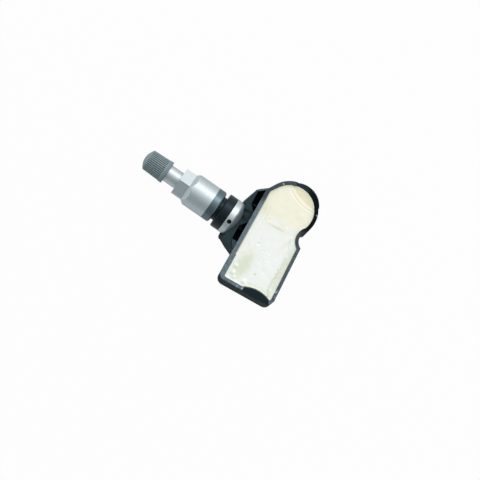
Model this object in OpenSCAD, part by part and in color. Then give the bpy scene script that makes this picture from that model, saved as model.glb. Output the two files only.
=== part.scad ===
// Tyre pressure sensor with a screwed valve: a potted plastic housing that holds the
// battery and the circuit, and a metal valve stem that clamps it in a wheel rim.
// The origin is the middle of the face that seats against the rim, on the stem's axis.
// +X points out along the valve, +Y to the housing's square end, +Z out of the open face.

/* [Housing] */
// Outer radius of the round lobe that holds the battery
lobe_r = 12.4; // [12.2:0.1:13]
// Thickness of the lobe's wall
lobe_wall = 1.7; // [1.4:0.1:1.9]
// Height of the housing from its floor to its rim
housing_h = 15.5; // [15.3:0.1:17]
// Thickness of the housing's floor
floor_t = 1.3; // [1:0.1:1.5]
// From the battery's axis to the outer face of the valve-side wall
valve_wall_x = 13.1; // [13:0.1:13.4]
// Thickness of the valve-side wall
valve_wall_t = 1.8; // [1.5:0.1:2]
// Extra thickness of that wall near the square end
end_wall_step = 0.45; // [0.2:0.05:0.8]
// From the battery's axis to the start of the thicker stretch
end_wall_y = 29; // [28:0.5:32]
// From the battery's axis to the outer face of the square end
square_end_y = 41.35; // [40:0.25:44]
// Thickness of the square end's wall
square_end_t = 1.5; // [1.2:0.1:2]
// From the battery's axis to the far wall's outer face, beside the notch
far_wall_x = 12.05; // [11.8:0.05:12.3]
// The same at the square end, because the far wall leans outwards
far_wall_end_x = 13.2; // [12.8:0.1:13.8]
// Thickness of the far wall
far_wall_t = 1.5; // [1.2:0.1:1.8]
// Outer radius of the two corners at the square end
corner_r = 3; // [2.6:0.1:4]
// From the battery's axis across to the centre of the notch
notch_x = 14.5; // [14.2:0.1:15]
// From the battery's axis along to the centre of the notch
notch_y = 8.65; // [8:0.05:9.5]
// Radius of the notch
notch_r = 5; // [4.5:0.1:5.4]
// Width of the bevel around the bottom edge
bottom_bevel = 0.7; // [0.3:0.1:1]

/* [Rim shapes] */
// Radius of the swelling on the lobe's outer side
swell_r = 9.85; // [9.6:0.05:10.1]
// How far the swelling's centre is from the battery's axis
swell_off = 3.65; // [3.3:0.05:3.9]
// Direction of the swelling's centre
swell_angle = 241; // [236:1:246]
// Direction of the middle of the stretch that it takes up
swell_mid = 247; // [243:1:250]
// Angle that the swelling spans about the battery's axis
swell_span = 71; // [60:1:76]
// Depth of the rim below the full height along the swelling
swell_drop = 0.9; // [0.4:0.1:1.5]
// Radius of the scoop in the square end's top edge
scoop_r = 13.5; // [12.5:0.25:15]
// From the battery's axis across to the scoop's centre
scoop_x = 5; // [4.5:0.1:5.5]
// How far the scoop reaches past the outer face of the square end
scoop_depth = 2.85; // [2.4:0.05:3]
// How far the scoop's axis leans from upright
scoop_lean = 34; // [28:1:40]
// Thickness of the lip left inside the scoop
scoop_lip = 0.5; // [0.4:0.05:0.8]
// Width of the scoop along the square end
scoop_w = 12.4; // [11:0.1:13]

/* [Bracket] */
// Height of the bracket above the floor
bracket_h = 13.1; // [13:0.1:13.4]
// From the battery's axis to the bracket's front beside the lobe
bracket_near_x = 16.7; // [16.4:0.1:17]
// From the battery's axis to the bracket's front corner past the seat
bracket_far_x = 21.6; // [21:0.1:22]
// From the stem's axis to that corner, towards the square end
bracket_corner_y = 10; // [9.8:0.1:10.3]
// Radius of that corner
bracket_corner_r = 1.5; // [1:0.1:2]
// Width of the two pockets, out from the valve-side wall
pocket_w = 2.7; // [2.4:0.1:2.8]
// Thickness of the floor under the pockets
pocket_floor = 1.2; // [0.8:0.1:1.6]
// Length of the pocket beside the lobe
near_pocket_l = 11.6; // [10.5:0.1:12]
// Length of the pocket towards the square end
far_pocket_l = 9.9; // [9:0.1:10.5]
// Width of the web between the pockets, at the wall
web_w = 4.8; // [4:0.1:5.4]
// How much each side of the web widens towards the seat
web_flare = 3.1; // [2.6:0.1:3.3]
// From the stem's axis to the middle of the web, towards the lobe
web_off = 2.75; // [2.4:0.05:3]

/* [Stem] */
// Height of the stem's seat above the floor
seat_z = 9.25; // [9.2:0.05:9.5]
// From the battery's axis out to the stem's seat
seat_x = 26.25; // [26.1:0.05:26.6]
// From the battery's axis along to the stem's seat
seat_y = 14.1; // [13.8:0.1:14.6]
// How far the stem points up from level
stem_pitch = 4.64; // [3.5:0.1:5.5]
// How far the stem leans towards the lobe
stem_yaw = 4.6; // [3:0.1:5]
// Radius of the collar
collar_r = 8.25; // [8:0.05:8.4]
// Length of the collar's round band
collar_l = 2.9; // [2.6:0.1:3.2]
// Radius of the ball shape on the collar's back
ball_r = 15; // [14.5:0.5:16]
// Radius of the stem under the seal and the nut
thread_r = 4.8; // [4.6:0.05:4.9]
// Radius of the stem's bare outer part
neck_r = 3.95; // [3.85:0.05:4.1]
// Radius of the stem's end, where the cap screws on
cap_thread_r = 3.85; // [3.7:0.05:3.9]
// Length of the stem past the seat
stem_l = 37.3; // [36.8:0.1:37.6]
// Where the wider threaded part ends
thread_end = 18.5; // [17.5:0.1:18.6]
// Radius of the air passage inside the stem
passage_r = 1.9; // [1.6:0.1:2]
// From the collar's back edge to the middle of its air hole
air_hole_off = 1.2; // [1.15:0.05:1.6]
// Radius of the air hole in the collar
air_hole_r = 1.05; // [0.8:0.05:1.1]
// Where that hole is around the collar, from the top
air_hole_turn = 27; // [15:1:40]
// Radius of the threaded tail that holds the stem to the bracket
tail_r = 1.75; // [1.5:0.05:1.8]
// Thickness of the bracket between the ball seat and the clamp nut
seat_wall = 1.1; // [0.9:0.1:1.2]
// Width across the flats of the clamp nut
clamp_nut_w = 6; // [5.5:0.1:6]
// Thickness of the clamp nut
clamp_nut_t = 1.8; // [1.5:0.1:1.9]
// How far the stem can be swung up
swing_up = 3; // [2:0.5:3]
// How far the stem can be swung down
swing_down = 2; // [1:0.5:2]

/* [Seal and nut] */
// Radius of the rubber flange
flange_r = 8.15; // [7.8:0.05:8.2]
// Thickness of the rubber flange
flange_l = 4; // [3.5:0.1:4.2]
// Radius of the rubber neck that fills the rim's hole
grommet_r = 5.65; // [5.6:0.05:5.7]
// Length of the rubber neck
grommet_l = 1.6; // [1.4:0.05:1.6]
// Gap between the rubber flange and the thrust ring
rim_gap = 1.5; // [1.4:0.05:1.8]
// Length of the thrust ring
ring_l = 3.8; // [3.4:0.1:4]
// Radius of the thrust ring and of the nut's skirt
skirt_r = 7.6; // [7.4:0.05:7.8]
// Radius of the thrust ring's rounded edge
ring_edge_r = 1.1; // [0.6:0.1:1.4]
// Length of the nut's round skirt
skirt_l = 11.5; // [11:0.1:12]
// Length of the nut's hexagon
hex_l = 5.1; // [4.6:0.1:5.4]
// Width across the hexagon's flats
hex_flats = 12; // [11:0.5:12.5]
// Slope of the faces where the hexagon runs into the skirt
hex_flare = 50; // [40:1:55]
// Where a corner of the hexagon is, from the top
hex_turn = 6.2; // [0:0.1:30]

/* [Cap] */
// Gap between the nut and the cap
bare_l = 6; // [5.9:0.1:6.4]
// Length of the cap
cap_l = 11.7; // [11:0.1:12.5]
// Radius of the cap at its open end
cap_r = 5.25; // [5.1:0.05:5.5]
// Radius of the cap at its closed end
cap_tip_r = 4.75; // [4.5:0.05:5.1]
// Radius of the cap's dome
cap_dome_r = 7.2; // [6.5:0.1:9]
// Length of the cap's plain band
cap_band_l = 1.9; // [1.5:0.1:2.5]
// Number of grooves around the cap
cap_grooves = 36; // [24:2:40]
// Depth of the grooves
groove_depth = 0.3; // [0.2:0.02:0.4]
// Width of the grooves
groove_w = 0.4; // [0.2:0.02:0.5]

/* [Inside the housing] */
// Height of the potting's surface below the rim
potting_drop = 0.6; // [0.4:0.1:1]
// Depth of the sunk part of the potting in the lobe
potting_step = 0.4; // [0.2:0.1:0.6]
// Radius of the step's arc
potting_arc_r = 17.4; // [16:0.2:19]
// How far the arc's centre is from the battery's axis
potting_arc_off = 23.5; // [22.5:0.1:24.5]
// Height of the space under the circuit board
under_board = 3; // [2.9:0.1:3.3]
// Thickness of the circuit board
board_t = 1; // [0.8:0.1:1.2]
// Radius of the battery
battery_r = 10; // [9.8:0.1:10.1]
// Thickness of the battery
battery_t = 5; // [4.5:0.1:5.2]
// Gap between the circuit board and the battery
battery_lift = 0.9; // [0.7:0.1:1.1]
// Width of the battery tabs
tab_w = 3; // [2.5:0.1:3.5]
// Thickness of the battery tabs
tab_t = 0.3; // [0.2:0.05:0.4]
// Width and length of the pressure sensor's case
chip_w = 7; // [6:0.5:7.5]
// Height of the pressure sensor's case
chip_t = 1.6; // [1.4:0.1:1.8]
// Radius of the pressure port in the floor
port_r = 1; // [0.8:0.1:1.1]

/* [Hidden] */
$fn = 96;
// Plays and gaps between pieces
running_play = 0.06;
rest_gap = 0.05;
board_play = 0.25;
collar_play = 0.35;
// One length that every cut runs past the face it leaves
past = 1;
// Places along the stem, from the seat outwards
ring_z = rim_gap;
nut_z = ring_z + ring_l + rest_gap;
hex_z = nut_z + skirt_l;
nut_end_z = hex_z + hex_l;
cap_z = nut_end_z + bare_l;
collar_z = -flange_l - collar_l;
// The ball's centre, about which the stem swings
ball_z = collar_z + sqrt(ball_r * ball_r - collar_r * collar_r);
ball_back_z = ball_z - ball_r;
clamp_z = ball_back_z - seat_wall - running_play;
tail_end_z = clamp_z - clamp_nut_t;
air_hole_z = collar_z + air_hole_off;
// Sizes of the stem's inner parts
core_r = 2.6;
core_l = 6.2;
core_sink = 0.35;
core_step_r = 1.85;
gasket_l = 1.2;
core_hole_r = 1.35;
pin_r = 0.55;
pin_head_r = 1.1;
pin_head_l = 0.5;
pin_l = 9.4;
poppet_r = 1.7;
poppet_l = 0.9;
spring_r = 0.98;
spring_wire_r = 0.14;
spring_turns = 6;
coil_steps = 16;
wire_sides = 8;
spring_l = 3.3;
spring_ledge_l = 2;
ledge_hole_r = 0.75;
stem_end_bevel = 0.4;
// The nut's outer end closes in to the bare neck over this length
nut_lip = 1;
seal_bevel = 0.3;
// How much the cap's body is set in from its plain band
cap_band_step = 0.1;
core_z = stem_l - core_sink - core_l;
pin_top_z = stem_l - core_sink;
poppet_z = core_z - gasket_l - poppet_l - rest_gap;
// Heights in the housing
board_z = floor_t + under_board;
board_top = board_z + board_t;
battery_z = board_top + battery_lift;
battery_top = battery_z + battery_t;
potting_top = housing_h - potting_drop;
// Lean of the far wall
far_lean = atan((far_wall_end_x - far_wall_x) / (square_end_y - notch_y));
// Where the valve-side wall's inner face turns in to the lobe, past the battery's axis
shoulder_y = 2.5;
// Where the bevel of the lobe's bottom edge starts, at the notch
lobe_bevel_angle = 158;
// The bracket's other corners
bracket_root_angle = -23;
bracket_near_y = -1;
bracket_seat_x = 19.45;
bracket_seat_y = 6.7;
bracket_bevel = 0.9;
bracket_foot_x = 17;
bracket_foot_y = 26;
bracket_end_y = 27.9;
gusset_l = 4.3;
gusset_w = 2.6;
gusset_drop = 1.4;
pocket_slant = 2.2;
ledge_t = 0.6;
ledge_drop = 3.2;
ledge_off = 3.6;
clamp_roof = 0.8;
slot_play = 0.15;
// The floor is open under the collar, so that no thin skin is left there
under_cut_off = 0.6;
under_cut_w = 8.2;
under_cut_h = 1;
room_play = 0.3;
// Places of the small parts on the board, as shares of the board's free length and width
chip_share = [0.1, 0.42];
crystal_share = [0.62, 0.78];
coil_share = [0.56, 0.22];
small_part_shares = [
  [0.34, 0.6], [0.34, 0.8], [0.5, 0.6], [0.74, 0.55], [0.82, 0.42], [0.82, 0.68]
];
coil_l = 7.4;
coil_w = 2.5;
coil_flange_t = 0.8;
coil_flange_play = 0.5;
winding_t = 0.3;
crystal_l = 3.2;
crystal_w = 2.5;
crystal_t = 0.8;
cap_chip = [1.6, 0.8, 0.8];
res_chip = [1.6, 0.8, 0.5];
chip_gap = 1.9;
gasket_r = 2.3;
filter_t = 0.3;
filter_r = 1.8;
antenna_l = 15;
antenna_h = 4.5;
antenna_w = 1.6;
antenna_t = 0.4;
antenna_off = 3.2;

// Puts a housing part, drawn about the battery's axis on the floor, in the part's frame
module in_housing() {
  translate([-seat_x, -seat_y, -seat_z]) children();
}

// Puts a stem part, drawn along +Z from the seat, in the part's frame
module on_stem() {
  rotate([0, 90 - stem_pitch, -stem_yaw]) children();
}

// The same, seen from the housing's own frame
module stem_in_housing() {
  translate([seat_x, seat_y, seat_z]) on_stem() children();
}

// A slot along the stem, tall enough for a round piece that swings at this reach from
// the ball's centre; the stem's own +X points down here
module swing_slot(r, reach, length) {
  up = reach * sin(swing_down);
  down = reach * sin(swing_up);
  linear_extrude(length) {
    translate([-up, 0]) circle(r);
    translate([down, 0]) circle(r);
    translate([-up, -r]) square([up + down, r + r]);
  }
}

function polar(r, angle) = [r * cos(angle), r * sin(angle)];

// Centre of the rounded corner between the far wall and the square end
function far_corner(far_in, end_in, corner) = [
  corner / cos(far_lean) - far_wall_x + far_in
    - (square_end_y - end_in - corner - notch_y) * tan(far_lean),
  square_end_y - end_in - corner
];

// The housing's plan: the lobe's circle and the box beside it, each side set in by a wall
module plan(lobe_in, valve_in, end_in, far_in, corner, notch_out) {
  r = lobe_r - lobe_in;
  left = valve_wall_x - valve_in;
  end = square_end_y - end_in;
  far = far_corner(far_in, end_in, corner);
  turn = -atan2(shoulder_y, left) - acos(r / norm([left, shoulder_y]));
  difference() {
    union() {
      circle(r);
      polygon([
        polar(r, turn), [left, -shoulder_y], [left, far[1]], [left - corner, far[1]],
        [left - corner, end], [far[0], end], far, far - polar(corner, far_lean),
        [far_in - far_wall_x, notch_y], [0, 0]
      ]);
      translate([left - corner, far[1]]) circle(corner);
      translate(far) circle(corner);
    }
    translate([-notch_x, notch_y]) circle(notch_r + notch_out);
  }
}

module outer_plan() {
  plan(0, 0, 0, 0, corner_r, 0);
}

// The hollow's plan: the walls taken off, less the thicker stretch and the scoop's lip
module hollow_plan() {
  difference() {
    plan(lobe_wall, valve_wall_t, square_end_t, far_wall_t, corner_r - square_end_t, far_wall_t);
    translate([valve_wall_x - valve_wall_t - end_wall_step, end_wall_y])
      square([end_wall_step + past, square_end_y]);
    scoop_place() circle(scoop_r + scoop_lip);
  }
}

module scoop_place() {
  translate([-scoop_x, square_end_y - scoop_depth + scoop_r]) children();
}

// A slice of a disc between two angles about +X, up to 90 degrees each side
module sector(r, span) {
  polygon([[0, 0], polar(r, -span / 2), [r / cos(span / 4), 0], polar(r, span / 2)]);
}

module swelling(h) {
  intersection() {
    translate(polar(swell_off, swell_angle)) cylinder(r = swell_r, h = h);
    swell_sector(h);
  }
}

module swell_sector(h) {
  rotate(swell_mid) linear_extrude(h) sector(lobe_r + swell_off, swell_span);
}

// Section that bevels a bottom edge whose outer face is on +X
module wedge_section() {
  polygon([[past, -past], [past, bottom_bevel + past], [-bottom_bevel - past, -past]]);
}

module straight_wedge(length) {
  rotate([90, 0, 0]) linear_extrude(length) wedge_section();
}

module round_wedge(r, from, to) {
  rotate(from) rotate_extrude(angle = to - from) translate([r, 0]) wedge_section();
}

// Bevels all round the bottom but for the notch and the bracket
module bottom_bevels() {
  far = far_corner(0, 0, corner_r);
  near = [valve_wall_x - corner_r, far[1]];
  swell_from = swell_mid - swell_span / 2;
  swell_to = swell_mid + swell_span / 2;
  translate([valve_wall_x, far[1], 0]) straight_wedge(far[1] - bracket_end_y);
  translate(near) round_wedge(corner_r, 0, 90);
  translate([far[0], square_end_y, 0]) rotate(90) straight_wedge(near[0] - far[0]);
  translate(far) round_wedge(corner_r, 90, 180 + far_lean);
  translate([-far_wall_x, notch_y, 0]) rotate(180 + far_lean)
    straight_wedge((far[1] - notch_y) / cos(far_lean) - corner_r * tan(far_lean));
  round_wedge(lobe_r, lobe_bevel_angle, swell_from);
  round_wedge(lobe_r, swell_to, 360 + bracket_root_angle);
  intersection() {
    translate(polar(swell_off, swell_angle)) round_wedge(swell_r, 0, 360);
    translate([0, 0, -past]) swell_sector(bottom_bevel + past + past);
  }
}

module bracket_plan() {
  corner = [bracket_far_x - bracket_corner_r, seat_y + bracket_corner_y - bracket_corner_r];
  polygon([
    [0, 0], polar(lobe_r, bracket_root_angle), [bracket_near_x, bracket_near_y],
    [bracket_seat_x, bracket_seat_y], [bracket_far_x, corner[1]], corner,
    [bracket_far_x - bracket_corner_r, seat_y + bracket_corner_y],
    [bracket_foot_x, bracket_foot_y], [valve_wall_x, bracket_end_y], [0, bracket_end_y]
  ]);
  translate(corner) circle(bracket_corner_r);
}

// The two pockets that lighten the bracket, either side of the flared web
module pocket_plans() {
  wall = valve_wall_x;
  face = valve_wall_x + pocket_w;
  near = seat_y - web_off - web_w / 2;
  far = seat_y - web_off + web_w / 2;
  polygon([
    [wall, near], [wall, near - near_pocket_l], [face, near - near_pocket_l + pocket_slant],
    [face, near - web_flare]
  ]);
  polygon([[wall, far], [face, far + web_flare], [face, far + far_pocket_l], [wall, far + far_pocket_l]]);
}

// A drum about the stem's swing axis, for the round back of the seat's wall
module swing_drum(r) {
  translate([0, 0, ball_z]) rotate([90, 0, 0]) translate([0, 0, -clamp_nut_w])
    cylinder(r = r, h = clamp_nut_w + clamp_nut_w);
}

// The room for the clamp nut, under the web and open to the far pocket
module clamp_room() {
  swing_reach = ball_z - tail_end_z;
  room_w = clamp_nut_w + room_play + room_play;
  axis_z = seat_z + tail_end_z * sin(stem_pitch);
  low = axis_z - clamp_nut_w / 2 - swing_reach * sin(swing_up) - room_play;
  high = bracket_h - clamp_roof;
  axis_y = seat_y - (clamp_z + tail_end_z) / 2 * sin(stem_yaw);
  difference() {
    translate([valve_wall_x, axis_y - room_w / 2, low])
      cube([pocket_w + seat_wall, room_w, high - low]);
    stem_in_housing() swing_drum(ball_r + seat_wall);
  }
}

// The seat: a hollow ball face, the room in front for the collar, and the tail's slot
module stem_seat() {
  stem_in_housing() {
    intersection() {
      translate([0, 0, -seat_x])
        swing_slot(collar_r + collar_play, ball_z - collar_z, seat_x + flange_l);
      union() {
        translate([0, 0, ball_z]) sphere(ball_r + rest_gap);
        translate([0, 0, collar_z - collar_play]) cylinder(r = seat_x, h = seat_x);
      }
    }
    translate([0, 0, tail_end_z - room_play])
      swing_slot(tail_r + slot_play, ball_z - tail_end_z, seat_x);
  }
  translate([
    seat_x + collar_z - under_cut_off, seat_y - collar_z * sin(stem_yaw) - under_cut_w / 2, -past
  ])
    cube([seat_x, under_cut_w, under_cut_h + past]);
}

// Moulded body: the tray, its bracket, the pockets and the ball seat in one piece
module housing() {
  color("#39424a") in_housing() difference() {
    union() {
      difference() {
        union() {
          linear_extrude(housing_h) outer_plan();
          swelling(housing_h - swell_drop);
          linear_extrude(bracket_h) bracket_plan();
          translate([valve_wall_x, seat_y - web_off + web_w / 2 + far_pocket_l, 0])
            linear_extrude(housing_h - gusset_drop)
              polygon([[0, 0], [gusset_w, 0], [0, gusset_l]]);
        }
        translate([0, 0, pocket_floor]) linear_extrude(housing_h) pocket_plans();
        translate([0, 0, floor_t]) linear_extrude(housing_h) hollow_plan();
      }
      pocket_ledge();
    }
    translate([0, 0, housing_h - swell_drop]) swell_sector(swell_drop + past);
    scoop();
    stem_seat();
    clamp_room();
    bottom_bevels();
    pressure_port();
    bracket_edge();
  }
}

// A leaning round cut; its radius makes the arc on the rim as round as scoop_r
module scoop() {
  r = scoop_r / cos(scoop_lean);
  apex_y = square_end_y - scoop_depth;
  intersection() {
    translate([-scoop_x, apex_y + r / cos(scoop_lean), housing_h]) rotate([scoop_lean, 0, 0])
      translate([0, 0, -housing_h]) cylinder(r = r, h = housing_h + scoop_r);
    translate([-scoop_x - scoop_w / 2, apex_y - past, floor_t])
      cube([scoop_w, square_end_y, housing_h]);
  }
}

// A low rib across the near pocket
module pocket_ledge() {
  near = seat_y - web_off - web_w / 2;
  translate([valve_wall_x - rest_gap, near - ledge_off - ledge_t, 0])
    cube([pocket_w + rest_gap + rest_gap, ledge_t, bracket_h - ledge_drop]);
}

module bracket_edge() {
  run = [bracket_seat_x - bracket_near_x, bracket_seat_y - bracket_near_y];
  translate([bracket_near_x, bracket_near_y, bracket_h])
    rotate(atan2(run[1], run[0]) - 90)
      rotate([-90, 0, 0]) translate([0, 0, -past]) linear_extrude(norm(run) + past + past)
        polygon([[-bracket_bevel - past, -past], [past, -past], [past, bracket_bevel + past]]);
}

// Place on the board, from shares of the free field beside the battery
function board_spot(share) = [
  far_wall_t + board_play - far_wall_x
    + share[1] * (far_wall_x + valve_wall_x - far_wall_t - valve_wall_t),
  battery_r + share[0] * (square_end_y - scoop_depth - battery_r)
];

module pressure_port() {
  spot = board_spot(chip_share);
  translate([spot[0], spot[1], -past]) cylinder(r = port_r, h = floor_t + past + past);
  translate([spot[0], spot[1], -past]) cylinder(r = filter_r + rest_gap, h = filter_t + past);
}

// Clear of the walls all round, with room for the wall's step
module board_plan() {
  difference() {
    plan(
      lobe_wall + board_play, valve_wall_t + end_wall_step + board_play,
      square_end_t + board_play, far_wall_t + board_play, corner_r - square_end_t - board_play,
      far_wall_t + board_play
    );
    scoop_place() circle(scoop_r + scoop_lip + board_play);
  }
}

module circuit_board() {
  color("#2f6b3c") in_housing() translate([0, 0, board_z]) linear_extrude(board_t) board_plan();
}

// A strip on top of the battery that bends down past its edge to the board
module tab_top_shape(play) {
  wide = tab_w + play + play;
  leg = tab_t + play + play;
  reach = battery_r + rest_gap + tab_t;
  translate([-tab_w / 2 - play, 0, 0]) {
    translate([0, battery_r - tab_w, battery_top])
      cube([wide, reach + play - battery_r + tab_w, tab_t + play]);
    translate([0, reach - tab_t - play, board_top])
      cube([wide, leg, battery_top - board_top + tab_t]);
  }
}

// Cast resin that fills the hollow above the board and holds the battery
module potting() {
  color("#eef0e2") in_housing() difference() {
    translate([0, 0, board_top]) linear_extrude(potting_top - board_top) hollow_plan();
    cylinder(r = battery_r + rest_gap, h = battery_top + rest_gap);
    tab_top_shape(rest_gap);
    antenna_shape(rest_gap);
    translate([0, 0, potting_top - potting_step])
      translate(polar(potting_arc_off, swell_mid)) cylinder(r = potting_arc_r, h = potting_step + past);
  }
}

module battery() {
  color("#c9ccce") in_housing() translate([0, 0, battery_z]) {
    cylinder(r = battery_r - tab_t, h = battery_t);
    translate([0, 0, tab_t]) cylinder(r = battery_r, h = battery_t - tab_t);
  }
}

module battery_tab_top() {
  color("#d8d9d2") in_housing() tab_top_shape(0);
}

// A flat strip under the battery that bends down to the board
module battery_tab_bottom() {
  color("#d8d9d2") in_housing() {
    translate([-tab_w / 2, -battery_r / 2, battery_z - tab_t]) cube([tab_w, battery_r, tab_t]);
    translate([-tab_w / 2, battery_r / 2 - tab_t, board_top]) cube([tab_w, tab_t, battery_lift]);
  }
}

// The sensor's case hangs under the board, with its own small hole facing the port
module pressure_sensor() {
  spot = board_spot(chip_share);
  color("#1c1d1f") in_housing() translate([spot[0], spot[1], board_z - chip_t]) difference() {
    translate([-chip_w / 2, -chip_w / 2, 0]) cube([chip_w, chip_w, chip_t]);
    translate([0, 0, -past]) cylinder(r = port_r, h = chip_t / 2 + past);
  }
}

module port_gasket() {
  spot = board_spot(chip_share);
  color("#6b2f2a") in_housing() translate([spot[0], spot[1], floor_t]) difference() {
    cylinder(r = gasket_r, h = under_board - chip_t);
    translate([0, 0, -past]) cylinder(r = port_r, h = under_board + past);
  }
}

module port_filter() {
  spot = board_spot(chip_share);
  color("#e8e8e4") in_housing() translate([spot[0], spot[1], 0])
    cylinder(r = filter_r, h = filter_t);
}

module crystal() {
  spot = board_spot(crystal_share);
  color("#c2c4c0") in_housing()
    translate([spot[0] - crystal_l / 2, spot[1] - crystal_w / 2, board_z - crystal_t])
      cube([crystal_l, crystal_w, crystal_t]);
}

// Ferrite bar with a flange at each end
module coil_core() {
  spot = board_spot(coil_share);
  waist = coil_w - coil_flange_play - coil_flange_play;
  color("#3b3d40") in_housing() translate([spot[0], spot[1], board_z - coil_w]) {
    for (end = [0, coil_l - coil_flange_t]) {
      translate([-coil_w / 2, end - coil_l / 2, 0]) cube([coil_w, coil_flange_t, coil_w]);
    }
    translate([-waist / 2, -coil_l / 2, coil_flange_play]) cube([waist, coil_l, waist]);
  }
}

module coil_winding() {
  spot = board_spot(coil_share);
  waist = coil_w - coil_flange_play - coil_flange_play;
  outer = waist + winding_t + winding_t;
  run = coil_l - coil_flange_t - coil_flange_t;
  color("#b3612c") in_housing()
    translate([spot[0], spot[1], board_z - coil_w / 2]) difference() {
      cube([outer, run, outer], center = true);
      cube([waist, run + past, waist], center = true);
    }
}

// Rows of small parts under the board
module chip_row(size, shift) {
  for (share = small_part_shares) {
    spot = board_spot(share);
    translate([spot[0] + shift - size[0] / 2, spot[1] - size[1] / 2, board_z - size[2]]) cube(size);
  }
}

module capacitors() {
  color("#a8835c") in_housing() chip_row(cap_chip, 0);
}

module resistors() {
  color("#202225") in_housing() chip_row(res_chip, chip_gap);
}

// Bent metal strip that stands on the board beside the square end
module antenna_shape(play) {
  y = square_end_y - square_end_t - scoop_depth - antenna_off;
  wide = antenna_t + play + play;
  translate([-antenna_l / 2 - play, y - antenna_w / 2 - play, board_top]) {
    for (x = [0, antenna_l - antenna_t]) {
      translate([x, 0, 0]) cube([wide, antenna_w + play + play, antenna_h + play]);
    }
    translate([0, 0, antenna_h - antenna_t - play])
      cube([antenna_l + play + play, antenna_w + play + play, wide]);
  }
}

module antenna() {
  color("#c98a4a") in_housing() antenna_shape(0);
}

// Turned stem: ball-backed collar, threaded body, bare neck, and the air passage inside
module valve_stem() {
  color("#d5dadd") on_stem() difference() {
    union() {
      intersection() {
        translate([0, 0, ball_back_z]) cylinder(r = collar_r, h = -flange_l - ball_back_z);
        translate([0, 0, ball_z]) sphere(ball_r);
      }
      translate([0, 0, -flange_l - past]) cylinder(r = thread_r, h = thread_end + flange_l + past);
      cylinder(r = neck_r, h = cap_z);
      cylinder(r = cap_thread_r, h = stem_l - stem_end_bevel);
      translate([0, 0, stem_l - stem_end_bevel])
        cylinder(r1 = cap_thread_r, r2 = cap_thread_r - stem_end_bevel, h = stem_end_bevel);
      translate([0, 0, tail_end_z]) cylinder(r = tail_r, h = -tail_end_z);
    }
    translate([0, 0, air_hole_z - passage_r]) cylinder(r = passage_r, h = stem_l);
    translate([0, 0, core_z - gasket_l]) cylinder(r = core_r + running_play, h = stem_l);
    translate([0, 0, air_hole_z]) rotate([0, -90, 0]) rotate([-air_hole_turn, 0, 0])
      cylinder(r = air_hole_r, h = collar_r + past);
  }
}

// Square nut behind the seat, its face hollowed to ride on the seat's round back
module clamp_nut() {
  color("#3a3d40") on_stem() difference() {
    translate([-clamp_nut_w / 2, -clamp_nut_w / 2, tail_end_z])
      cube([clamp_nut_w, clamp_nut_w, clamp_nut_t + seat_wall]);
    swing_drum(ball_r + seat_wall + running_play);
    translate([0, 0, tail_end_z - past]) cylinder(r = tail_r, h = seat_x);
  }
}

// Rubber flange with bevelled edges, and the neck that fills the rim's hole
module rubber_seal() {
  small_r = flange_r - seal_bevel;
  color("#1d2125") on_stem() difference() {
    union() {
      translate([0, 0, -flange_l]) cylinder(r1 = small_r, r2 = flange_r, h = seal_bevel);
      translate([0, 0, seal_bevel - flange_l])
        cylinder(r = flange_r, h = flange_l - seal_bevel - seal_bevel);
      translate([0, 0, -seal_bevel]) cylinder(r1 = flange_r, r2 = small_r, h = seal_bevel);
      cylinder(r = grommet_r, h = grommet_l);
    }
    translate([0, 0, -flange_l - past])
      cylinder(r = thread_r, h = flange_l + grommet_l + past + past);
  }
}

// Ring with a rounded edge that bears on the rim
module thrust_ring() {
  flat = ring_l - ring_edge_r;
  room = grommet_l - rim_gap / 2;
  color("#66727a") on_stem() translate([0, 0, ring_z]) difference() {
    union() {
      translate([0, 0, ring_edge_r]) cylinder(r = skirt_r, h = flat);
      cylinder(r = skirt_r - ring_edge_r, h = ring_l);
      translate([0, 0, ring_edge_r]) rotate_extrude() translate([skirt_r - ring_edge_r, 0])
        circle(ring_edge_r);
    }
    translate([0, 0, -past]) cylinder(r = thread_r + running_play, h = ring_l + past + past);
    translate([0, 0, -past]) cylinder(r = grommet_r + collar_play, h = room + past);
  }
}

// Long nut: round skirt that runs up by sloping faces into a hexagon
module hex_nut() {
  flat = hex_flats / 2;
  rise = (skirt_r - flat) * tan(hex_flare);
  color("#cfd6d9") on_stem() difference() {
    translate([0, 0, nut_z]) cylinder(r = skirt_r, h = nut_end_z - nut_z);
    for (side = [0:5]) {
      rotate(side * 60 + 210 - hex_turn) rotate([90, 0, 0])
        translate([0, 0, -skirt_r]) linear_extrude(skirt_r + skirt_r)
          polygon([
            [flat, nut_end_z + past], [flat, hex_z], [skirt_r, hex_z - rise],
            [skirt_r + past, hex_z - rise], [skirt_r + past, nut_end_z + past]
          ]);
    }
    translate([0, 0, nut_z - past])
      cylinder(r = thread_r + running_play, h = nut_end_z - nut_z - nut_lip + past);
    cylinder(r = neck_r + running_play, h = nut_end_z + past);
  }
}

// Brass tube screwed into the stem's mouth, with a ledge for the spring
module core_barrel() {
  color("#b08d4c") on_stem() difference() {
    union() {
      translate([0, 0, core_z]) cylinder(r = core_r, h = core_l);
      translate([0, 0, core_z - gasket_l]) cylinder(r = core_step_r, h = gasket_l + past);
    }
    translate([0, 0, core_z - gasket_l - past]) cylinder(r = ledge_hole_r, h = core_l + past);
    translate([0, 0, core_z + spring_ledge_l]) cylinder(r = core_hole_r, h = core_l);
  }
}

module core_gasket() {
  color("#7d2b25") on_stem() translate([0, 0, core_z - gasket_l]) difference() {
    cylinder(r = core_r, h = gasket_l);
    translate([0, 0, -past]) cylinder(r = core_step_r, h = gasket_l + past + past);
  }
}

module core_pin() {
  color("#c4a25c") on_stem() {
    translate([0, 0, pin_top_z - pin_l]) cylinder(r = pin_r, h = pin_l);
    translate([0, 0, pin_top_z - pin_head_l]) cylinder(r = pin_head_r, h = pin_head_l);
  }
}

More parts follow.
